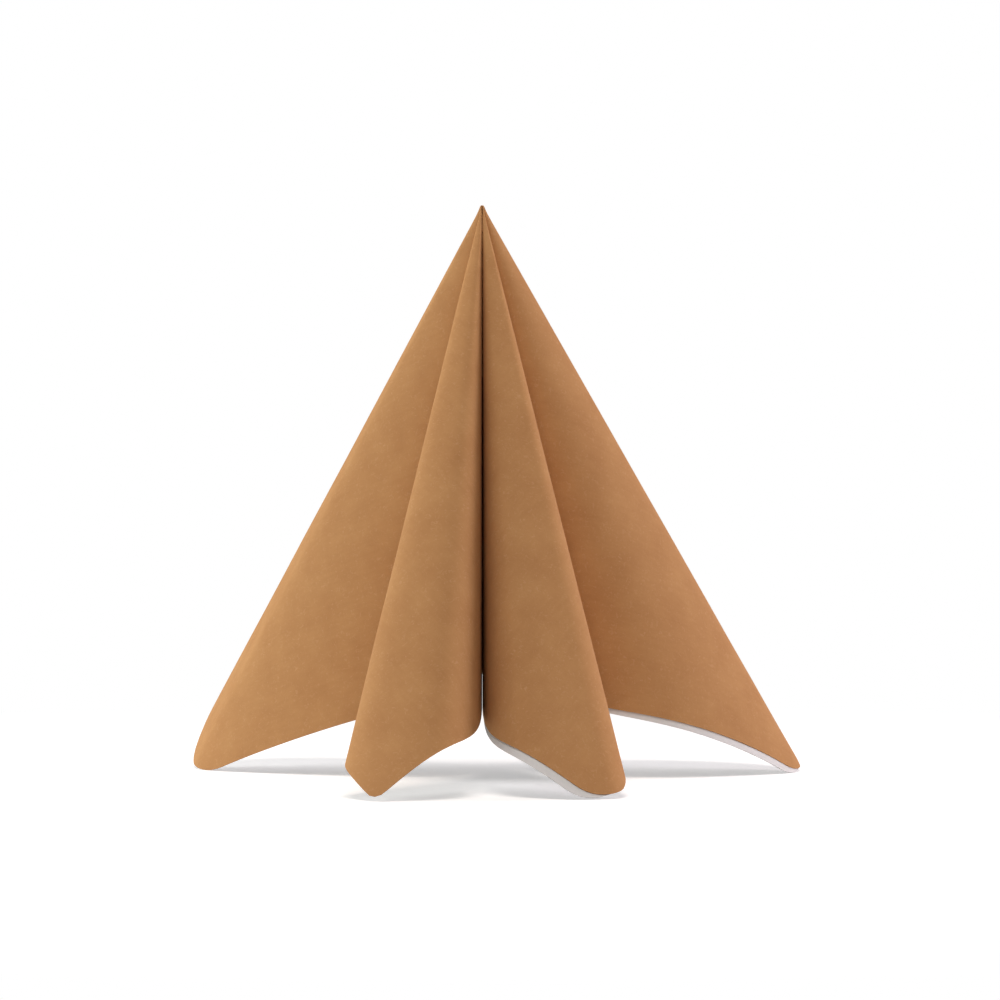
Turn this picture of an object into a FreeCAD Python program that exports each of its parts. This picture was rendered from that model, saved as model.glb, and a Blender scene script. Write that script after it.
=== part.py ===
import FreeCAD, Part
import math
import os

# A square paper napkin folded along its two middle lines and stood up on its
# corners, in mm. The middle of the sheet is the tip. Four inward folds run down
# from it to the middles of the sheet's edges, and between each two of them the
# paper swells out into a rounded lobe that ends in one corner of the sheet.
#
# Every straight line from the tip down the paper stays straight, so the shape is
# written as a plan: how far each of those lines runs to the right (+X) and to
# the back (+Y) for each unit it drops. The line's length comes from the flat
# sheet. Directions round the tip are in degrees from the front, right positive.

# the sheet
sheet_side = 400.0
sheet_thickness = 0.7
# how thick the paper is where its layers press together inside the tip
pressed_thickness = 0.28
# how the white inner ply lies turned and shifted against the brown outer ply
ply_turn = 0.9
ply_shift_right = 0.7
ply_shift_front = 0.7
# rounding of the sheet's four corners
front_right_rounding = 15.0
back_right_rounding = 20.0
back_left_rounding = 29.0
front_left_rounding = 5.0

# how far the lines to the corners lean out from upright, before the rounding
corner_lean = 32.65
# the round of the inward folds at the rim
fold_radius = 1.4

# where the inward folds lie in the plan, and the direction each side one opens in
front_fold_back = 0.128
back_fold_back = 0.20
right_fold_back = 0.225
left_fold_back = 0.187
right_fold_out = 0.044
left_fold_out = 0.0717
right_fold_opening = 13.2
left_fold_opening = 16.0
# how far each wall of the front fold leans over towards the other one, which shuts the fold
front_fold_closing = 0.85

# direction of each corner, and how the rim turns there against square to it
front_right_corner = 19.3
front_right_turn = 6.0
back_right_corner = 97.6
back_right_turn = 17.0
back_left_corner = -105.8
back_left_turn = -33.0
front_left_corner = -15.6
front_left_turn = 10.7

# how far each wall runs straight on from its fold, and straight into its corner
front_right_inner_runs = (0.70, 0.212)
front_right_outer_runs = (0.326, 0.128)
back_right_front_runs = (0.667, 0.088)
back_right_rear_runs = (0.22, 0.46)
back_left_rear_runs = (0.186, 0.613)
back_left_front_runs = (0.611, 0.102)
front_left_outer_runs = (0.532, 0.248)
front_left_inner_runs = (0.694, 0.207)

half_side = sheet_side / 2.0
half_diagonal = half_side * math.sqrt(2.0)
tip_height = half_diagonal * math.cos(math.radians(corner_lean))
fold_turn = fold_radius / half_side
# in order round the sheet, from the front fold to the right
roundings = (front_right_rounding, back_right_rounding, back_left_rounding, front_left_rounding)


def compass(degrees):
    """Unit step in the plan towards a direction counted from the front."""
    angle = math.radians(degrees)
    return (math.sin(angle), -math.cos(angle))


def step(point, direction, length):
    return (point[0] + direction[0] * length, point[1] + direction[1] * length)


def bezier(ends, t):
    a, b, c, d = ends
    s = 1.0 - t
    return tuple(s**3 * a[i] + 3 * s * s * t * b[i] + 3 * s * t * t * c[i] + t**3 * d[i]
                 for i in (0, 1))


def on_sheet(x, y):
    """True where a point of the flat sheet lies inside its edge."""
    rounding = roundings[(1 if y > 0.0 else 0) if x > 0.0 else (2 if y > 0.0 else 3)]
    past = (abs(x) - half_side + rounding, abs(y) - half_side + rounding)
    if min(past) > 0.0:
        return math.hypot(*past) < rounding
    return max(past) < rounding


def edge_distance(sheet_angle, ply):
    """From the middle of the sheet to the edge of the outer (1) or inner (-1) ply."""
    x, y = compass(sheet_angle)
    right = front = turn = 0.0
    if ply < 0:
        right, front, turn = ply_shift_right, ply_shift_front, math.radians(ply_turn)
    low, high = 0.5 * half_side, 2.0 * half_side
    for i in range(40):
        middle = (low + high) / 2.0
        px, py = x * middle - right, y * middle + front
        px, py = px * math.cos(turn) - py * math.sin(turn), px * math.sin(turn) + py * math.cos(turn)
        if on_sheet(px, py):
            low = middle
        else:
            high = middle
    return low


class Wall:
    """The paper from one inward fold to one corner: an eighth of the sheet.

    side is +1 where the wall goes right round from the fold to the corner and
    -1 where it goes left. t runs from -1 in the depth of the fold through 0,
    where the small round of the fold ends, to 1 at the corner.
    """

    def __init__(self, fold, opening, corner, turn, side, runs, first_angle, closing=0.0):
        self.fold = fold
        self.opening = compass(opening)
        self.across = compass(opening + 90.0 * side)
        self.first_angle = first_angle
        self.side = side
        reach = math.sqrt((edge_distance(first_angle + 45.0 * side, 1) / tip_height) ** 2 - 1.0)
        tip = step((0.0, 0.0), compass(corner), reach)
        along = compass(corner + 90.0 - turn)
        begin = step(fold, self.across, fold_turn)
        self.ends = (begin, step(begin, compass(opening - side * closing), runs[0]),
                     step(tip, along, -side * runs[1]), tip)
        steps = 400
        self.marks = [-1.0 + 2.0 * i / steps for i in range(steps + 1)]
        lines = [self.line(t) for t in self.marks]
        turned = [0.0]
        for a, b in zip(lines, lines[1:]):
            turned.append(turned[-1] + a.getAngle(b))
        self.length = math.degrees(turned[-1])
        self.turned = [45.0 * v / turned[-1] for v in turned]

    def plan(self, t):
        """Plan point at t."""
        if t >= 0.0:
            return bezier(self.ends, t)
        angle = -t * math.pi / 2.0
        point = step(self.fold, self.across, fold_turn * math.cos(angle))
        return step(point, self.opening, -fold_turn * math.sin(angle))

    def heading(self, t):
        """Direction in the plan in which t grows."""
        if t > 0.0:
            a, b, c, d = self.ends
            s = 1.0 - t
            return [s * s * (b[i] - a[i]) + 2 * s * t * (c[i] - b[i]) + t * t * (d[i] - c[i])
                    for i in (0, 1)]
        angle = -t * math.pi / 2.0
        sideways, onward = math.sin(angle), math.cos(angle)
        return [self.across[i] * sideways + self.opening[i] * onward for i in (0, 1)]

    def line(self, t):
        """Unit vector down the paper at t."""
        x, y = self.plan(t)
        down = FreeCAD.Vector(x, y, -1.0)
        return down.normalize()

    def out(self, t):
        """Unit vector square to the paper at t, away from the inside of the lobe."""
        x, y = self.heading(t)
        return FreeCAD.Vector(x, y, 0.0).cross(self.line(t)).normalize() * (-self.side)

    def at(self, angle):
        """t of the line that lies the given sheet angle from the fold."""
        i = 1
        while i < len(self.turned) - 1 and self.turned[i] < angle:
            i += 1
        low, high = self.turned[i - 1], self.turned[i]
        part = (angle - low) / (high - low)
        return self.marks[i - 1] + part * (self.marks[i] - self.marks[i - 1])


front_fold = (0.0, front_fold_back)
right_fold = (right_fold_out, right_fold_back)
back_fold = (0.0, back_fold_back)
left_fold = (-left_fold_out, left_fold_back)

walls = [
    Wall(front_fold, 0.0, front_right_corner, front_right_turn, 1, front_right_inner_runs, 0.0,
         front_fold_closing),
    Wall(right_fold, right_fold_opening, front_right_corner, front_right_turn, -1,
         front_right_outer_runs, 90.0),
    Wall(right_fold, right_fold_opening, back_right_corner, back_right_turn, 1,
         back_right_front_runs, 90.0),
    Wall(back_fold, 180.0, back_right_corner, back_right_turn, -1, back_right_rear_runs, 180.0),
    Wall(back_fold, 180.0, back_left_corner, back_left_turn, 1, back_left_rear_runs, 180.0),
    Wall(left_fold, left_fold_opening, back_left_corner, back_left_turn, -1,
         back_left_front_runs, 270.0),
    Wall(left_fold, left_fold_opening, front_left_corner, front_left_turn, 1,
         front_left_outer_runs, 270.0),
    Wall(front_fold, 0.0, front_left_corner, front_left_turn, -1, front_left_inner_runs, 360.0,
         front_fold_closing),
]


# faces of the sheet
tip = FreeCAD.Vector(0.0, 0.0, tip_height)

# above this depth the tip is solid, because the narrowest lobe has no room inside it
marks = [-1.0 + i / 20.0 for i in range(31)]
neck = min(math.dist(first.plan(a), second.plan(b))
           for first, second in zip(walls[::2], walls[1::2]) for a in marks for b in marks)
pressed_depth = 3.0 * pressed_thickness / neck

# sheet angles of the lines that are worked out, close in the fold and at the corner;
# between each two neighbouring lines the paper is a narrow flat strip
fold_arc = 90.0 * fold_turn
angles = [fold_arc * i / 4.0 for i in range(4)]
angles += [fold_arc + (38.0 - fold_arc) * i / 16.0 for i in range(16)]
angles += [38.0 + 7.0 * i / 10.0 for i in range(11)]


def ends(wall, ply, height):
    """Ends of a wall's lines at the edge of the outer ply (ply = 1) or of the inner one (ply = -1)."""
    points = []
    for angle in angles:
        t = wall.at(angle)
        length = edge_distance(wall.first_angle + wall.side * angle, ply)
        points.append(tip + wall.line(t) * length + wall.out(t) * height)
    return points


def raised(wall, points, depth):
    """The same points moved up along the wall's lines to a depth under the tip."""
    moved = []
    for point, outer in zip(points, ends(wall, 1, sheet_thickness / 2.0)):
        line = outer - tip
        moved.append(point + line * ((tip_height - depth - point.z) / line.z))
    return moved


def flat(points):
    """Flat face with the given corners."""
    return Part.Face(Part.makePolygon(points + points[:1]))


def band(first, second):
    """Faces of the strips between two rows of points."""
    made = []
    for a, b, c, d in zip(first, first[1:], second, second[1:]):
        made.append(flat([a, b, c]))
        made.append(flat([b, d, c]))
    return made


faces = []
ceiling = []
for wall in walls:
    outer_ends = ends(wall, 1, sheet_thickness / 2.0)
    inner_ends = ends(wall, -1, -sheet_thickness / 2.0)
    pressed = ends(wall, 1, sheet_thickness / 2.0 - pressed_thickness)
    inner_tops = raised(wall, pressed, pressed_depth)
    faces += [flat([tip, a, b]) for a, b in zip(outer_ends, outer_ends[1:])]
    faces += band(outer_ends, inner_ends)
    faces += band(inner_ends, inner_tops)
    ceiling += inner_tops[:-1] if wall.side > 0 else inner_tops[:0:-1]
faces.append(flat(ceiling))

shell = Part.makeShell(faces)
shell.sewShape()
napkin = Part.makeSolid(shell)
if napkin.Volume < 0.0:
    napkin.reverse()

box = napkin.optimalBoundingBox(False, False)
napkin.translate(FreeCAD.Vector(-box.Center.x, -box.Center.y, -box.ZMin))

os.makedirs("parts", exist_ok=True)
napkin.exportStep("parts/napkin.step")
print("valid", napkin.isValid(), "closed", napkin.Shells[0].isClosed(), "volume", round(napkin.Volume),
      "size", [round(v, 1) for v in (box.XLength, box.YLength, box.ZLength)],
      "middle", round(box.Center.x, 2), round(box.Center.y, 2))
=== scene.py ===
import logging
import math
from dataclasses import dataclass, field
from enum import Enum
from typing import Iterable, Sequence

import bpy
from mathutils import Matrix, Vector


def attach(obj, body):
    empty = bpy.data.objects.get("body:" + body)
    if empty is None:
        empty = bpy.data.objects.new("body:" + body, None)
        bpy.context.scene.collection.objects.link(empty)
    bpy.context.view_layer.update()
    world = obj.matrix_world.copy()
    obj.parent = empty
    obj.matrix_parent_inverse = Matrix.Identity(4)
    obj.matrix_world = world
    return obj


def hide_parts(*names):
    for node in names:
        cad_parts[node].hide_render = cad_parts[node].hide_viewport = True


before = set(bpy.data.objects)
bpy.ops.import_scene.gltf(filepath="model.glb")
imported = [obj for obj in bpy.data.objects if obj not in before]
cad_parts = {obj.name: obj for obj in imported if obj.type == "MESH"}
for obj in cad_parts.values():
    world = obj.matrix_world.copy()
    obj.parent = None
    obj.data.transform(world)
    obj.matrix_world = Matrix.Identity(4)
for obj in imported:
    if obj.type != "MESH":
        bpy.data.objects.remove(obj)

# A square paper napkin, brown outside and white inside, folded along its two
# middle lines and stood on its four corners. All sizes are in metres. The plan
# says how far each straight line down the paper runs to the right (+X) and to
# the back (+Y) for each unit it drops. Directions are in degrees round the tip
# from the front, right positive.

log = logging.getLogger("napkin")

MM = 0.001
# the sheet angle that each wall spans, from a fold to a corner
WALL_ANGLE = 45
# steps in which a wall's plan curve is measured
WALL_STEPS = 600
# halvings in the search for the edge of the flat sheet
HALVINGS = 40
# name of the UV map that holds the flat sheet
FLAT_UV = "flat sheet"
# what each point of the flat shell knows, and each face
POINT_FACTS = ("round", "angle", "down", "reach", "height", "blunt")
FACE_FACT = "paper"

Plan = tuple[float, float]
Ray = tuple[float, float, float]
Colour = tuple[float, float, float]


class Side(Enum):
    """Which way round the tip a wall goes from its fold to its corner."""

    RIGHT_ROUND = 1
    LEFT_ROUND = -1


class Paper(Enum):
    """The two plies of the napkin."""

    BROWN = 0
    WHITE = 1


def compass(degrees: float) -> Plan:
    """Finds the unit step in a direction.

    Args:
        degrees: the direction, counted from the front.

    Returns:
        How far the step goes right and back.
    """
    angle = math.radians(degrees)
    return (math.sin(angle), -math.cos(angle))


def step(point: Sequence[float], direction: Sequence[float], length: float) -> Plan:
    """Steps from one plan point to another.

    Args:
        point: where the step starts.
        direction: unit step in the plan.
        length: how far it goes.

    Returns:
        The plan point where it ends.
    """
    return (point[0] + direction[0] * length, point[1] + direction[1] * length)


class NodeBench:
    """Adds nodes to one tree, with their settings and what feeds them."""

    def __init__(self, tree: bpy.types.NodeTree) -> None:
        """Takes the tree to work on."""
        self.tree = tree

    def feed(self, socket: bpy.types.NodeSocket, value: object) -> None:
        """Links a socket or sets its value.

        Args:
            socket: the input.
            value: another node's output, or the value itself.
        """
        if isinstance(value, bpy.types.NodeSocket):
            self.tree.links.new(value, socket)
        else:
            socket.default_value = value

    def add(self, kind: str, fed: dict[str | int, object] | None = None,
            **settings: object) -> bpy.types.Node:
        """Adds one node.

        Args:
            kind: the node's type.
            fed: what goes into its inputs, by their names or numbers.
            settings: the node's own settings.

        Returns:
            The node.
        """
        node = self.tree.nodes.new(kind)
        for name, value in settings.items():
            setattr(node, name, value)
        for key, value in (fed or {}).items():
            self.feed(node.inputs[key], value)
        return node

    def arithmetic(self, operation: str, a: object, b: object = 0.0) -> bpy.types.NodeSocket:
        """Adds a math node.

        Args:
            operation: what it does.
            a: its first number or socket.
            b: its second number or socket.

        Returns:
            The output with the result.
        """
        return self.add("ShaderNodeMath", {0: a, 1: b}, operation=operation).outputs["Value"]

    def seen_directly(self) -> bpy.types.NodeSocket:
        """Output that is 1 for what the camera sees, also in a shine, and 0 for lighting."""
        path = self.add("ShaderNodeLightPath").outputs
        return self.arithmetic("MAXIMUM", path["Is Camera Ray"], path["Is Glossy Ray"])


@dataclass(frozen=True)
class FlatSheet:
    """The napkin before it is folded.

    Args:
        side: length of the square's sides.
        thickness: both plies together.
        roundings: radius of the corners, in order from the front right one.
        ply_turn: how far the white ply is turned under the brown one, in degrees.
        ply_right: how far the white ply is shifted to the right.
        ply_front: how far the white ply is shifted to the front.
    """

    side: float = 400 * MM
    thickness: float = 0.7 * MM
    roundings: tuple[float, ...] = (15 * MM, 20 * MM, 29 * MM, 5 * MM)
    ply_turn: float = 0.9
    ply_right: float = 0.7 * MM
    ply_front: float = 0.7 * MM

    def holds(self, x: float, y: float) -> bool:
        """Tells whether a flat point lies inside the sheet's edge.

        Args:
            x: how far right of the sheet's middle it lies.
            y: how far behind the sheet's middle it lies.

        Returns:
            True inside the edge.
        """
        corner = (1 if y > 0 else 0) if x > 0 else (2 if y > 0 else 3)
        rounding = self.roundings[corner]
        past = (abs(x) - self.side / 2 + rounding, abs(y) - self.side / 2 + rounding)
        if min(past) > 0:
            return math.hypot(*past) < rounding
        return max(past) < rounding

    def reach(self, sheet_angle: float, paper: Paper) -> float:
        """Measures from the middle of the sheet to the edge of one ply.

        Args:
            sheet_angle: direction in the flat sheet, in degrees from the front.
            paper: the ply.

        Returns:
            The distance in metres.
        """
        x, y = compass(sheet_angle)
        white = paper is Paper.WHITE
        turn = math.radians(self.ply_turn) if white else 0.0
        right = self.ply_right if white else 0.0
        front = self.ply_front if white else 0.0
        low, high = self.side / 4, self.side
        for _ in range(HALVINGS):
            middle = (low + high) / 2
            px, py = x * middle - right, y * middle + front
            turned_x = px * math.cos(turn) - py * math.sin(turn)
            turned_y = px * math.sin(turn) + py * math.cos(turn)
            if self.holds(turned_x, turned_y):
                low = middle
            else:
                high = middle
        return low


@dataclass(frozen=True)
class Fold:
    """One inward fold, halfway along an edge of the sheet.

    Args:
        place: its plan point.
        opening: direction in which it opens.
        closing: how far its two walls lean towards each other, in degrees.
    """

    place: Plan
    opening: float
    closing: float = 0.0


@dataclass(frozen=True)
class Corner:
    """One corner of the sheet, at the end of a lobe.

    Args:
        direction: where it points.
        turn: turn of the rim there against square to that direction.
    """

    direction: float
    turn: float


@dataclass
class Wall:
    """The paper from one inward fold to one corner, an eighth of the sheet.

    Args:
        fold: where it starts.
        corner: where it ends.
        side: which way round the tip it goes.
        runs: how far it runs straight on from the fold and into the corner.
        first_angle: sheet angle of the fold.
        fold_turn: radius of the fold in the plan.
        corner_reach: how far out the corner lies in the plan.
    """

    fold: Fold
    corner: Corner
    side: Side
    runs: Plan
    first_angle: float
    fold_turn: float
    corner_reach: float
    onward: Plan = field(init=False)
    across: Plan = field(init=False)
    ends: tuple[Plan, ...] = field(init=False)
    marks: list[float] = field(init=False)
    turned: list[float] = field(init=False)

    def __post_init__(self) -> None:
        """Lays out the plan curve and measures how it turns."""
        way, opening, corner = self.side.value, self.fold.opening, self.corner
        self.onward = compass(opening)
        self.across = compass(opening + 90 * way)
        end = step((0.0, 0.0), compass(corner.direction), self.corner_reach)
        along = compass(corner.direction + 90 - corner.turn)
        begin = step(self.fold.place, self.across, self.fold_turn)
        leaning = compass(opening - way * self.fold.closing)
        self.ends = (begin, step(begin, leaning, self.runs[0]),
                     step(end, along, -way * self.runs[1]), end)
        self.marks = [-1 + 2 * i / WALL_STEPS for i in range(WALL_STEPS + 1)]
        lines = [self.line(t) for t in self.marks]
        turned = [0.0]
        for before, after in zip(lines, lines[1:]):
            turned.append(turned[-1] + math.dist(before, after))
        scale = WALL_ANGLE / turned[-1]
        self.turned = [v * scale for v in turned]

    def line(self, t: float) -> Ray:
        """Finds one line down the wall.

        Args:
            t: -1 in the depth of the fold, 0 where its round ends, 1 at the corner.

        Returns:
            Unit vector down the paper.
        """
        if t >= 0:
            a, b, c, d = self.ends
            s = 1 - t
            x, y = (s**3 * a[i] + 3 * s * s * t * b[i] + 3 * s * t * t * c[i] + t**3 * d[i]
                    for i in (0, 1))
        else:
            angle = -t * math.pi / 2
            point = step(self.fold.place, self.across, self.fold_turn * math.cos(angle))
            x, y = step(point, self.onward, -self.fold_turn * math.sin(angle))
        length = math.sqrt(x * x + y * y + 1)
        return (x / length, y / length, -1 / length)

    def at(self, angle: float) -> Ray:
        """Finds the line at a sheet angle.

        Args:
            angle: from the fold, in degrees of the flat sheet.

        Returns:
            Unit vector down the paper.
        """
        i = 1
        while i < len(self.turned) - 1 and self.turned[i] < angle:
            i += 1
        low, high = self.turned[i - 1], self.turned[i]
        part = (angle - low) / (high - low)
        return self.line(self.marks[i - 1] + part * (self.marks[i] - self.marks[i - 1]))


@dataclass(frozen=True)
class Column:
    """One straight line down the paper.

    Args:
        sheet_angle: its direction in the flat sheet, in degrees.
        line: unit vector down the folded paper.
        round: how far along the fold path it lies, from 0 to 1.
        brown: distance from the tip to the brown ply's edge.
        white: distance from the tip to the white ply's edge.
    """

    sheet_angle: float
    line: Ray
    round: float
    brown: float
    white: float


@dataclass(frozen=True)
class Station:
    """One row of the shell: where it lies down the paper and in its thickness.

    Args:
        down: part of the way from the tip to the rim, from 0 to 1.
        edge: the ply whose edge the row runs to.
        height: distance from the middle of the paper, outward positive.
        blunt: how far the row is pushed out round the tip.
    """

    down: float
    edge: Paper
    height: float
    blunt: float = 0.0


@dataclass(frozen=True)
class PaperFinish:
    """Soft napkin paper with faint mottling, fibres and embossed dimples.

    Args:
        name: the material's name.
        pale: colour of the thin places.
        deep: colour of the dense places.
        fleck: colour of the scattered fibres.
        sheen: weight of the soft fuzz.
        roughness: of the surface.
        shine: strength of its reflections.
        relief: strength of the bumps.
        relief_height: height of the bumps.
        cloud_scale: fineness of the mottling, for one sheet side.
        grain_scale: fineness of the grain across and along it.
        grain_share: weight of the grain against the mottling.
        spread: where the mottling is all deep and all pale.
        fibre_scale: fineness of the fibres.
        fibre_spread: where the fibres begin and are full.
        fibre_share: how strongly full fibres show.
        dimple_scale: fineness of the embossed dimples.
        dimple_share: weight of the dimples against the fibres.
    """

    name: str
    pale: Colour
    deep: Colour
    fleck: Colour
    sheen: float
    roughness: float = 0.92
    shine: float = 0.15
    relief: float = 0.25
    relief_height: float = 0.15 * MM
    cloud_scale: float = 22.0
    grain_scale: Plan = (210, 40)
    grain_share: float = 0.35
    spread: Plan = (0.45, 0.90)
    fibre_scale: float = 260.0
    fibre_spread: Plan = (0.56, 0.74)
    fibre_share: float = 0.45
    dimple_scale: float = 230.0
    dimple_share: float = 0.7

    def colour(self, bench: NodeBench, flat: bpy.types.NodeSocket,
               fibres: bpy.types.NodeSocket) -> bpy.types.NodeSocket:
        """Mottles the paper and scatters its fibres.

        Args:
            bench: for the material's nodes.
            flat: place on the flat sheet.
            fibres: noise of the fibres.

        Returns:
            The output with the colour.
        """
        cloud = bench.add("ShaderNodeTexNoise", {
            "Vector": flat, "Scale": self.cloud_scale, "Detail": 5.0, "Roughness": 0.62})
        along = bench.add("ShaderNodeMapping", {"Vector": flat, "Scale": (*self.grain_scale, 1)})
        grain = bench.add("ShaderNodeTexNoise", {
            "Vector": along.outputs["Vector"], "Scale": 1.0, "Detail": 4.0})
        both = bench.add("ShaderNodeMath", {
            0: grain.outputs["Fac"], 1: self.grain_share, 2: cloud.outputs["Fac"]},
            operation="MULTIPLY_ADD")
        spread = bench.add("ShaderNodeMapRange", {
            "Value": both.outputs["Value"],
            "From Min": self.spread[0], "From Max": self.spread[1]})
        ground = bench.add("ShaderNodeMix", {
            "Factor": spread.outputs["Result"], "A": (*self.deep, 1), "B": (*self.pale, 1)},
            data_type="RGBA")
        strands = bench.add("ShaderNodeMapRange", {
            "Value": fibres, "To Max": self.fibre_share,
            "From Min": self.fibre_spread[0], "From Max": self.fibre_spread[1]})
        flecked = bench.add("ShaderNodeMix", {
            "Factor": strands.outputs["Result"], "A": ground.outputs["Result"],
            "B": (*self.fleck, 1)}, data_type="RGBA")
        return flecked.outputs["Result"]

    def bumps(self, bench: NodeBench, flat: bpy.types.NodeSocket,
              fibres: bpy.types.NodeSocket) -> bpy.types.NodeSocket:
        """Raises the fibres and presses in the dimples.

        Args:
            bench: for the material's nodes.
            flat: place on the flat sheet.
            fibres: noise of the fibres.

        Returns:
            The output with the normal.
        """
        dimples = bench.add("ShaderNodeTexVoronoi", {
            "Vector": flat, "Scale": self.dimple_scale, "Randomness": 0.35, "Smoothness": 0.8},
            feature="SMOOTH_F1")
        blend = bench.add("ShaderNodeMath", {
            0: dimples.outputs["Distance"], 1: self.dimple_share, 2: fibres},
            operation="MULTIPLY_ADD")
        bump = bench.add("ShaderNodeBump", {
            "Height": blend.outputs["Value"], "Strength": self.relief,
            "Distance": self.relief_height})
        return bump.outputs["Normal"]

    def make(self) -> bpy.types.Material:
        """Builds the material.

        Returns:
            The material, patterned on the flat sheet's own UV map.
        """
        material = bpy.data.materials.new(self.name)
        material.use_nodes = True
        bench = NodeBench(material.node_tree)
        flat = bench.add("ShaderNodeUVMap", uv_map=FLAT_UV).outputs["UV"]
        fibres = bench.add("ShaderNodeTexNoise", {
            "Vector": flat, "Scale": self.fibre_scale, "Detail": 3.0,
            "Distortion": 1.4}).outputs["Fac"]
        shader = material.node_tree.nodes["Principled BSDF"]
        fed = {
            "Base Color": self.colour(bench, flat, fibres),
            "Normal": self.bumps(bench, flat, fibres),
            "Roughness": self.roughness,
            "Specular IOR Level": self.shine,
            "Sheen Weight": self.sheen,
            "Sheen Roughness": 0.6,
            "Sheen Tint": (*self.pale, 1),
        }
        for name, value in fed.items():
            bench.feed(shader.inputs[name], value)
        return material


class FoldingNodes(NodeBench):
    """Geometry nodes that lay the flat shell along the fold path."""

    def __init__(self) -> None:
        """Starts an empty tree."""
        super().__init__(bpy.data.node_groups.new("folding", "GeometryNodeTree"))

    def fact(self, name: str, kind: str = "FLOAT") -> bpy.types.NodeSocket:
        """Reads an attribute of the flat shell.

        Args:
            name: the attribute's name.
            kind: its data type.

        Returns:
            The output with its value.
        """
        node = self.add("GeometryNodeInputNamedAttribute", {"Name": name}, data_type=kind)
        return node.outputs["Attribute"]

    def vector(self, operation: str, a: object, b: object = None) -> bpy.types.NodeSocket:
        """Adds a vector math node.

        Args:
            operation: what it does.
            a: its first vector.
            b: its second vector, or the factor where it scales.

        Returns:
            The output with the result.
        """
        node = self.add("ShaderNodeVectorMath", {0: a}, operation=operation)
        if b is not None:
            self.feed(node.inputs["Scale" if operation == "SCALE" else 1], b)
        return node.outputs["Vector"]

    def open_inputs(self) -> bpy.types.bpy_prop_collection:
        """Names what goes into the tree and comes out of it.

        Returns:
            The outputs of the tree's input node.
        """
        face = self.tree.interface
        face.new_socket("Geometry", in_out="INPUT", socket_type="NodeSocketGeometry")
        face.new_socket("Fold Path", in_out="INPUT", socket_type="NodeSocketObject")
        for name in ("Tip Height", "Buckle", "Buckle Scale", "Seed"):
            face.new_socket(name, in_out="INPUT", socket_type="NodeSocketFloat")
        for name in ("Brown Paper", "White Paper"):
            face.new_socket(name, in_out="INPUT", socket_type="NodeSocketMaterial")
        face.new_socket("Geometry", in_out="OUTPUT", socket_type="NodeSocketGeometry")
        return self.add("NodeGroupInput").outputs

    def make(self) -> bpy.types.NodeTree:
        """Builds the tree.

        Returns:
            The node tree, with named inputs for its sizes.
        """
        given = self.open_inputs()
        path = self.add("GeometryNodeObjectInfo", {"Object": given["Fold Path"]})
        sample = self.add("GeometryNodeSampleCurve", {
            "Curves": path.outputs["Geometry"], "Factor": self.fact("round")}, mode="FACTOR")
        line = self.vector("NORMALIZE", sample.outputs["Position"])
        out = self.vector("NORMALIZE",
                          self.vector("CROSS_PRODUCT", line, sample.outputs["Tangent"]))

        # the soft end of the tip is pushed out the same way as in the flat sheet
        down, angle, blunt = self.fact("down"), self.fact("angle"), self.fact("blunt")
        back = self.arithmetic("MULTIPLY", blunt, self.arithmetic("COSINE", angle))
        push = self.add("ShaderNodeCombineXYZ", {
            "X": self.arithmetic("MULTIPLY", blunt, self.arithmetic("SINE", angle)),
            "Y": self.arithmetic("MULTIPLY", back, -1.0)})

        # the paper's unevenness grows from nothing at the tip to its full height at the rim
        spot = self.add("GeometryNodeInputPosition").outputs["Position"]
        noise = self.add("ShaderNodeTexNoise", {
            "Vector": spot, "Scale": given["Buckle Scale"], "W": given["Seed"], "Detail": 1.5},
            noise_dimensions="4D")
        uneven = self.arithmetic(
            "MULTIPLY", self.arithmetic("SUBTRACT", noise.outputs["Fac"], 0.5), given["Buckle"])
        height = self.arithmetic(
            "ADD", self.fact("height"), self.arithmetic("MULTIPLY", uneven, down))

        run = self.arithmetic("MULTIPLY", self.fact("reach"), down)
        laid = self.vector("ADD", self.vector("SCALE", line, run),
                           self.vector("SCALE", out, height))
        lift = self.add("ShaderNodeCombineXYZ", {"Z": given["Tip Height"]})
        place = self.vector("ADD", self.vector("ADD", laid, push.outputs["Vector"]),
                            lift.outputs["Vector"])
        move = self.add("GeometryNodeSetPosition", {
            "Geometry": given["Geometry"], "Position": place})

        realize = self.add("GeometryNodeRealizeInstances", {
            "Geometry": move.outputs["Geometry"]})
        smooth = self.add("GeometryNodeSetShadeSmooth", {
            "Geometry": realize.outputs["Geometry"]})
        first = self.add("GeometryNodeSetMaterial", {
            "Geometry": smooth.outputs["Geometry"], "Material": given["Brown Paper"]})
        second = self.add("GeometryNodeSetMaterial", {
            "Geometry": first.outputs["Geometry"], "Selection": self.fact(FACE_FACT, "INT"),
            "Material": given["White Paper"]})
        self.add("NodeGroupOutput", {"Geometry": second.outputs["Geometry"]})
        return self.tree


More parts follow.
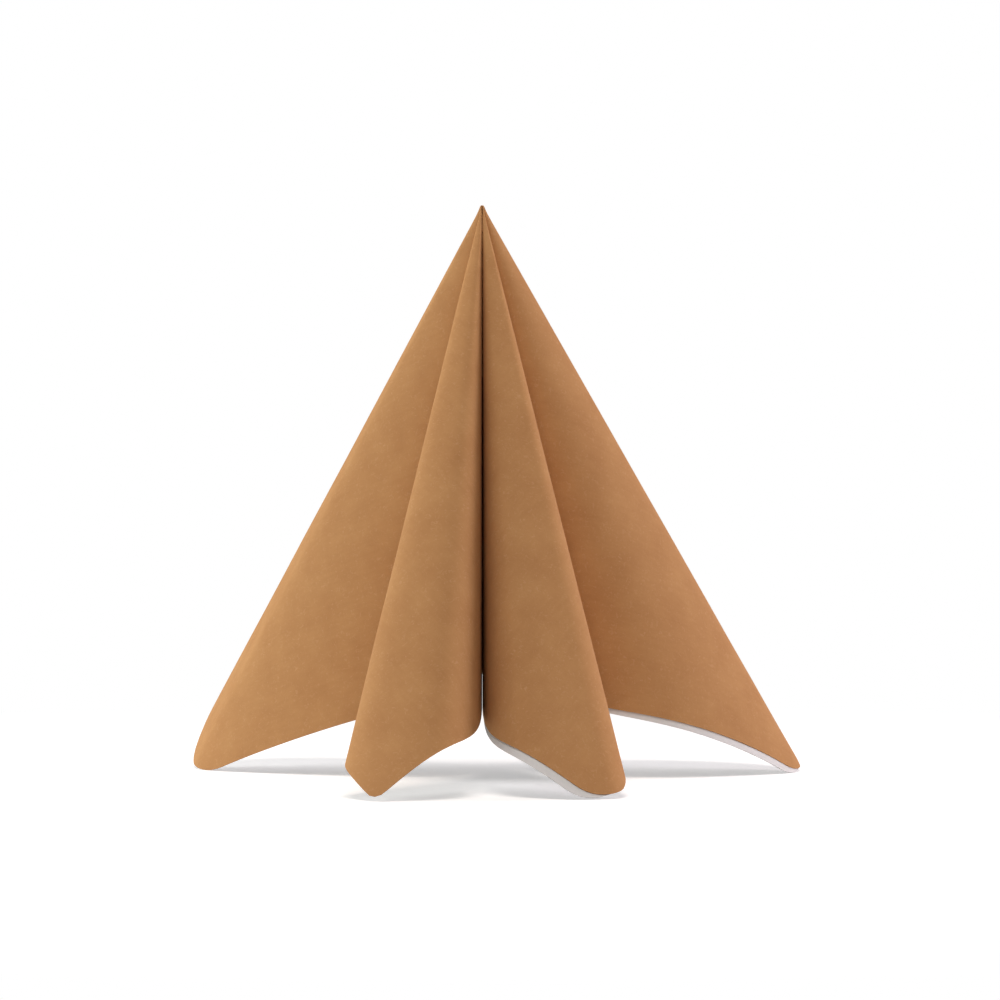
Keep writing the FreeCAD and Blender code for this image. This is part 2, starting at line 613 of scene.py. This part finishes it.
@dataclass
class FoldedNapkin:
    """The napkin as it stands.

    Args:
        sheet: the flat sheet it is folded from.
        corner_lean: lean of the lines to the corners, before the rounding.
        pressed_thickness: of the paper where its layers press together.
        pressed_depth: how far down the tip the layers are pressed together.
        blunt_radius: of the soft end of the tip.
        blunt_depth: how far down the tip that softness fades, in millimetres.
        fold_radius: round of the inward folds at the rim.
        buckle: height of the soft unevenness of the paper.
        buckle_scale: how close its waves lie.
        seed: for that unevenness.
        place: where the tip stands over the middle of the floor.
        rows: rows of mesh between the pressed tip and the rim.
        tip_rows: depths of the rows in the pressed tip, in millimetres.
        fold_columns: lines in the round of each fold, on each wall.
        wall_columns: lines between a fold and its corner's bend.
        corner_columns: lines in the corner's bend.
        bend_from: sheet angle from the fold at which the corner's bend begins.
        flush_from: sheet angle past which the white ply doesn't show under the brown one.
        sharp_edge: edges steeper than this stay sharp, in degrees.
    """

    sheet: FlatSheet = field(default_factory=FlatSheet)
    corner_lean: float = 32.65
    pressed_thickness: float = 0.28 * MM
    pressed_depth: float = 27.3 * MM
    blunt_radius: float = 1.1 * MM
    blunt_depth: float = 2.2
    fold_radius: float = 1.4 * MM
    front_fold: Fold = Fold((0.0, 0.128), 0.0, closing=0.85)
    right_fold: Fold = Fold((0.044, 0.225), 13.2)
    back_fold: Fold = Fold((0.0, 0.20), 180.0)
    left_fold: Fold = Fold((-0.0717, 0.187), 16.0)
    front_right: Corner = Corner(19.3, 6.0)
    back_right: Corner = Corner(97.6, 17.0)
    back_left: Corner = Corner(-105.8, -33.0)
    front_left: Corner = Corner(-15.6, 10.7)
    buckle: float = 0.7 * MM
    buckle_scale: float = 16.0
    seed: float = 4.0
    place: Plan = (-5.3 * MM, 27.34 * MM)
    rows: int = 60
    tip_rows: tuple[float, ...] = (0.35, 0.6, 1.0, 1.6, 2.4, 3.6, 5.2, 7.4, 10.2, 13.4, 17.0)
    fold_columns: int = 6
    wall_columns: int = 30
    corner_columns: int = 14
    bend_from: float = 38
    flush_from: float = 145.0
    sharp_edge: float = 50
    tip: Vector = field(init=False)

    @property
    def tip_height(self) -> float:
        """Height of the tip over the corners."""
        return self.sheet.side / math.sqrt(2) * math.cos(math.radians(self.corner_lean))

    @property
    def fold_turn(self) -> float:
        """Radius of the inward folds in the plan."""
        return self.fold_radius / (self.sheet.side / 2)

    def walls(self) -> list[Wall]:
        """Lays out the walls.

        Returns:
            The eight walls in order round the sheet, from the front fold to the right.
        """
        going, coming = Side.RIGHT_ROUND, Side.LEFT_ROUND
        plan = (
            (self.front_fold, self.front_right, going, (0.70, 0.212), 0),
            (self.right_fold, self.front_right, coming, (0.326, 0.128), 90),
            (self.right_fold, self.back_right, going, (0.667, 0.088), 90),
            (self.back_fold, self.back_right, coming, (0.22, 0.46), 180),
            (self.back_fold, self.back_left, going, (0.186, 0.613), 180),
            (self.left_fold, self.back_left, coming, (0.611, 0.102), 270),
            (self.left_fold, self.front_left, going, (0.532, 0.248), 270),
            (self.front_fold, self.front_left, coming, (0.694, 0.207), 360),
        )
        made = []
        for fold, corner, side, runs, first_angle in plan:
            length = self.sheet.reach(first_angle + WALL_ANGLE * side.value, Paper.BROWN)
            reach = math.sqrt((length / self.tip_height) ** 2 - 1)
            made.append(Wall(fold, corner, side, runs, first_angle, self.fold_turn, reach))
        return made

    def columns(self) -> list[Column]:
        """Spaces the straight lines down the paper, once round the sheet.

        Returns:
            The columns in order round the sheet, closer in the folds and corners.
        """
        fold_arc, bend = 90 * self.fold_turn, WALL_ANGLE - self.bend_from
        spacing = [fold_arc * i / self.fold_columns for i in range(self.fold_columns)]
        spacing += [fold_arc + (self.bend_from - fold_arc) * i / self.wall_columns
                    for i in range(self.wall_columns)]
        spacing += [self.bend_from + bend * i / self.corner_columns
                    for i in range(self.corner_columns + 1)]
        rays: list[tuple[float, Ray]] = []
        for wall in self.walls():
            way = wall.side.value
            for angle in spacing[:-1] if way > 0 else spacing[:0:-1]:
                rays.append((wall.first_angle + way * angle, wall.at(angle)))
        following = rays[1:] + rays[:1]
        lengths = [math.dist(after[1], ray[1]) for ray, after in zip(rays, following)]
        total = sum(lengths)
        made, gone = [], 0.0
        for (angle, line), length in zip(rays, lengths):
            brown = self.sheet.reach(angle, Paper.BROWN)
            white = self.sheet.reach(angle, Paper.WHITE)
            if angle > self.flush_from:
                white = min(white, brown)
            made.append(Column(angle, line, gone / total, brown, white))
            gone += length
        return made

    def stations(self) -> list[Station]:
        """Spaces the rows of the shell.

        Returns:
            The rows from the tip down the outside, round the rim and up the inside.
        """
        thickness, full = self.sheet.thickness, self.tip_height
        half = thickness / 2
        start = self.pressed_depth / full
        made = []
        for depth in self.tip_rows:
            down = depth * MM / full
            # the first rows are narrower, which rounds the end off
            blunt = self.blunt_radius * math.exp(-depth / self.blunt_depth) * min(1.0, depth + 0.2)
            made.append(Station(down, Paper.BROWN, half * down, blunt))
        downs = [start + (1 - start) * i / self.rows for i in range(self.rows + 1)]
        made += [Station(down, Paper.BROWN, half * down) for down in downs]
        made += [Station(1, Paper.BROWN, 0.0), Station(1, Paper.WHITE, 0.0)]
        for down in reversed(downs):
            part = (down - start) / (1 - start)
            thick = self.pressed_thickness + part * (thickness - self.pressed_thickness)
            made.append(Station(down, Paper.WHITE, half * down - thick))
        return made

    def shell_faces(self, columns: Sequence[Column], stations: Sequence[Station]
                    ) -> tuple[list[tuple[int, ...]], list[int]]:
        """Joins the shell's points row by row and closes it at both ends.

        Args:
            columns: the lines down the paper.
            stations: the rows of the shell.

        Returns:
            The faces, and the number of each one's paper.
        """
        wide = len(columns)
        faces: list[tuple[int, ...]] = []
        papers: list[int] = []
        rim = [i for i, station in enumerate(stations) if station.down == 1]
        for row in range(len(stations) - 1):
            here, below = row * wide, (row + 1) * wide
            for i, column in enumerate(columns):
                j = (i + 1) % wide
                faces.append((here + i, here + j, below + j, below + i))
                brown_strip = row == rim[1] and column.white <= column.brown
                paper = Paper.BROWN if row <= rim[0] or brown_strip else Paper.WHITE
                papers.append(paper.value)
        last = (len(stations) - 1) * wide
        faces += [tuple(range(wide - 1, -1, -1)), tuple(last + i for i in range(wide))]
        papers += [Paper.BROWN.value, Paper.WHITE.value]
        return faces, papers

    def flat_shell(self) -> bpy.types.Object:
        """Makes the closed shell of the napkin, still flat.

        Returns:
            The mesh object, with what lays it along the fold path as point attributes
            and its UV map of the flat sheet.
        """
        columns, stations = self.columns(), self.stations()
        facts: dict[str, list[float]] = {key: [] for key in POINT_FACTS}
        points: list[Vector] = []
        for station in stations:
            for column in columns:
                reach = column.brown if station.edge is Paper.BROWN else column.white
                values = (column.round, math.radians(column.sheet_angle), station.down, reach,
                          station.height, station.blunt)
                for key, value in zip(POINT_FACTS, values):
                    facts[key].append(value)
                x, y = compass(column.sheet_angle)
                away = station.down * reach
                points.append(Vector((x * away, y * away, station.height)))
        faces, papers = self.shell_faces(columns, stations)
        mesh = bpy.data.meshes.new("flat shell")
        mesh.from_pydata(points, [], faces)
        for key, values in facts.items():
            mesh.attributes.new(key, "FLOAT", "POINT").data.foreach_set("value", values)
        mesh.attributes.new(FACE_FACT, "INT", "FACE").data.foreach_set("value", papers)
        flat = mesh.uv_layers.new(name=FLAT_UV)
        side = self.sheet.side
        for loop in mesh.loops:
            point = points[loop.vertex_index]
            flat.data[loop.index].uv = (0.5 + point.x / side, 0.5 + point.y / side)
        shell = bpy.data.objects.new("flat shell", mesh)
        bpy.context.scene.collection.objects.link(shell)
        return shell

    def fold_path(self) -> bpy.types.Object:
        """Draws the path that the paper is laid along.

        Returns:
            The closed curve through the directions of the lines down the paper.
        """
        columns = self.columns()
        curve = bpy.data.curves.new("fold path", "CURVE")
        curve.dimensions = "3D"
        spline = curve.splines.new("POLY")
        spline.points.add(len(columns) - 1)
        for point, column in zip(spline.points, columns):
            point.co = (*column.line, 1)
        spline.use_cyclic_u = True
        path = bpy.data.objects.new("fold path", curve)
        bpy.context.scene.collection.objects.link(path)
        return path

    def build(self, brown: bpy.types.Material, white: bpy.types.Material) -> bpy.types.Object:
        """Folds the napkin, sets it in its place and dresses it.

        Args:
            brown: finish of the outer ply.
            white: finish of the inner ply.

        Returns:
            The finished napkin.
        """
        shell, path = self.flat_shell(), self.fold_path()
        modifier = shell.modifiers.new("folding", "NODES")
        modifier.node_group = FoldingNodes().make()
        inputs = {item.name: item.identifier for item in modifier.node_group.interface.items_tree
                  if item.item_type == "SOCKET" and item.in_out == "INPUT"}
        sizes = {"Fold Path": path, "Tip Height": self.tip_height, "Buckle": self.buckle,
                 "Buckle Scale": self.buckle_scale, "Seed": self.seed,
                 "Brown Paper": brown, "White Paper": white}
        for name, value in sizes.items():
            modifier[inputs[name]] = value
        bpy.context.view_layer.update()
        graph = bpy.context.evaluated_depsgraph_get()
        mesh = bpy.data.meshes.new_from_object(shell.evaluated_get(graph), depsgraph=graph)
        mesh.name = "napkin paper"
        for old in (shell, path):
            bpy.data.objects.remove(old)
        for name in (*POINT_FACTS, FACE_FACT):
            if name in mesh.attributes:
                mesh.attributes.remove(mesh.attributes[name])
        shift = Vector((*self.place, -min(v.co.z for v in mesh.vertices)))
        mesh.transform(Matrix.Translation(shift))
        mesh.set_sharp_from_angle(angle=math.radians(self.sharp_edge))
        napkin = bpy.data.objects.new("folded_napkin", mesh)
        bpy.context.scene.collection.objects.link(napkin)
        self.tip = Vector((0, 0, self.tip_height)) + shift
        return napkin


@dataclass(frozen=True)
class Softbox:
    """One square soft light that points at the napkin.

    Args:
        name: its name.
        direction: where it stands round the napkin, in degrees from the front.
        height: over the floor.
        away: level distance from the napkin.
        power: in watts.
        colour: of its light.
        size: length of its sides.
        aim: height of the spot that it points at.
    """

    name: str
    direction: float
    height: float
    away: float
    power: float
    colour: Colour
    size: float = 0.8
    aim: float = 0.1

    def hang(self) -> bpy.types.Object:
        """Hangs it in its place.

        Returns:
            The lamp.
        """
        data = bpy.data.lights.new(self.name, "AREA")
        data.shape, data.size = "SQUARE", self.size
        data.energy, data.color = self.power, self.colour
        lamp = bpy.data.objects.new(self.name, data)
        bpy.context.scene.collection.objects.link(lamp)
        x, y = compass(self.direction)
        lamp.location = (x * self.away, y * self.away, self.height)
        aim = Vector((0, 0, self.aim)) - lamp.location
        lamp.rotation_euler = aim.to_track_quat("-Z", "Y").to_euler()
        return lamp


@dataclass
class Studio:
    """Plain pale floor, white surroundings, three soft lights and the camera.

    Args:
        distance: from the camera to the napkin's tip, measured level.
        below_tip: how far the camera lies under the tip.
        pixels_per_metre: at the tip's distance, in the frame.
        tip_pixel: where the tip lies in the frame.
        frame_side: pixels along each side of the frame.
        sensor: width of the camera's sensor, in millimetres.
        floor_half: half the floor's side.
        floor_shade: how pale the floor is.
        floor_glow: light added to the floor where it is seen, which whitens it.
        fade: distances from the middle between which the floor turns white.
        surround: strength of the white surroundings as a light.
        softboxes: the lights.
    """

    distance: float = 1.282
    below_tip: float = 0.14838
    pixels_per_metre: float = 2374.5
    tip_pixel: Plan = (482.06, 204.1)
    frame_side: float = 1000
    sensor: float = 36
    floor_half: float = 20.0
    floor_shade: float = 0.8
    floor_glow: float = 0.42
    fade: Plan = (0.25, 0.6)
    surround: float = 0.02
    softboxes: tuple[Softbox, ...] = (
        Softbox("left softbox", -108, 0.5, 1.3, 15, (0.98, 1.0, 0.96)),
        Softbox("right softbox", 108, 0.5, 1.3, 12, (1.0, 0.89, 0.98)),
        Softbox("top softbox", 0, 1.4, 0.5, 15, (1.0, 0.925, 0.88)),
    )

    def camera(self, tip: Vector) -> bpy.types.Object:
        """Sets up the camera at the photograph's viewing angle.

        Args:
            tip: where the napkin's tip is.

        Returns:
            The camera.
        """
        focal = self.pixels_per_metre * self.distance
        middle = self.frame_side / 2
        data = bpy.data.cameras.new("camera")
        data.sensor_width = self.sensor
        data.lens = self.sensor * focal / self.frame_side
        data.clip_start, data.clip_end = 0.05, 50
        camera = bpy.data.objects.new("camera", data)
        bpy.context.scene.collection.objects.link(camera)
        camera.location = tip + Vector((0, -self.distance, -self.below_tip))
        level_row = self.tip_pixel[1] + focal * self.below_tip / self.distance
        look = Vector(((middle - self.tip_pixel[0]) / focal, 1, (level_row - middle) / focal))
        camera.rotation_euler = look.to_track_quat("-Z", "Y").to_euler()
        bpy.context.scene.camera = camera
        return camera

    def floor_finish(self) -> bpy.types.Material:
        """Makes the floor's material, which keeps the shadow and fades to white.

        Returns:
            The material.
        """
        material = bpy.data.materials.new("pale floor")
        material.use_nodes = True
        material.node_tree.nodes.clear()
        bench = NodeBench(material.node_tree)
        shade = self.floor_shade
        diffuse = bench.add("ShaderNodeBsdfDiffuse", {"Color": (shade, shade, shade, 1)})
        seen = bench.seen_directly()
        glow = bench.add("ShaderNodeEmission", {
            "Strength": bench.arithmetic("MULTIPLY", seen, self.floor_glow)})
        both = bench.add("ShaderNodeAddShader", {
            0: diffuse.outputs["BSDF"], 1: glow.outputs["Emission"]})
        white = bench.add("ShaderNodeEmission", {"Strength": seen})
        spot = bench.add("ShaderNodeTexCoord").outputs["Object"]
        away = bench.add("ShaderNodeVectorMath", {0: spot}, operation="LENGTH")
        fade = bench.add("ShaderNodeMapRange", {
            "Value": away.outputs["Value"], "From Min": self.fade[0], "From Max": self.fade[1]})
        mixed = bench.add("ShaderNodeMixShader", {
            "Fac": fade.outputs["Result"], 1: both.outputs["Shader"],
            2: white.outputs["Emission"]})
        bench.add("ShaderNodeOutputMaterial", {"Surface": mixed.outputs["Shader"]})
        return material

    def floor(self) -> bpy.types.Object:
        """Lays the floor.

        Returns:
            The floor.
        """
        mesh = bpy.data.meshes.new("floor")
        half = self.floor_half
        mesh.from_pydata([(-half, -half, 0), (half, -half, 0), (half, half, 0), (-half, half, 0)],
                         [], [(0, 1, 2, 3)])
        floor = bpy.data.objects.new("floor", mesh)
        bpy.context.scene.collection.objects.link(floor)
        floor.data.materials.append(self.floor_finish())
        return floor

    def world(self) -> None:
        """Makes the surroundings white to look at and dim as a light."""
        world = bpy.data.worlds.new("surroundings")
        world.use_nodes = True
        world.node_tree.nodes.clear()
        bench = NodeBench(world.node_tree)
        level = bench.add("ShaderNodeMapRange", {
            "Value": bench.seen_directly(), "To Min": self.surround, "To Max": 1.0})
        back = bench.add("ShaderNodeBackground", {
            "Color": (1, 1, 1, 1), "Strength": level.outputs["Result"]})
        bench.add("ShaderNodeOutputWorld", {"Surface": back.outputs["Background"]})
        bpy.context.scene.world = world

    def build(self, tip: Vector) -> None:
        """Sets up the floor, the surroundings, the lights and the camera.

        Args:
            tip: where the napkin's tip is.
        """
        self.floor()
        self.world()
        for softbox in self.softboxes:
            softbox.hang()
        self.camera(tip)
        bpy.context.scene.view_settings.view_transform = "Standard"


def main() -> None:
    """Builds the napkin and its setting, and reports each piece."""
    logging.basicConfig(level=logging.INFO, format="%(message)s")
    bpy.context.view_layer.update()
    brown = PaperFinish("brown napkin paper", pale=(0.545, 0.29, 0.120),
                        deep=(0.475, 0.238, 0.095), fleck=(0.63, 0.37, 0.19), sheen=0.12)
    white = PaperFinish("white napkin paper", pale=(0.80, 0.80, 0.79),
                        deep=(0.74, 0.74, 0.735), fleck=(0.86, 0.86, 0.85), sheen=0.1)
    folded = FoldedNapkin()
    napkin = folded.build(brown.make(), white.make())
    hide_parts("napkin")
    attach(napkin, "root")
    log.info("napkin: %d faces, tip at %s", len(napkin.data.polygons),
             tuple(round(v, 4) for v in folded.tip))
    studio = Studio()
    studio.build(folded.tip)
    log.info("studio: floor, %d soft lights and camera", len(studio.softboxes))


if __name__ == "__main__":
    main()
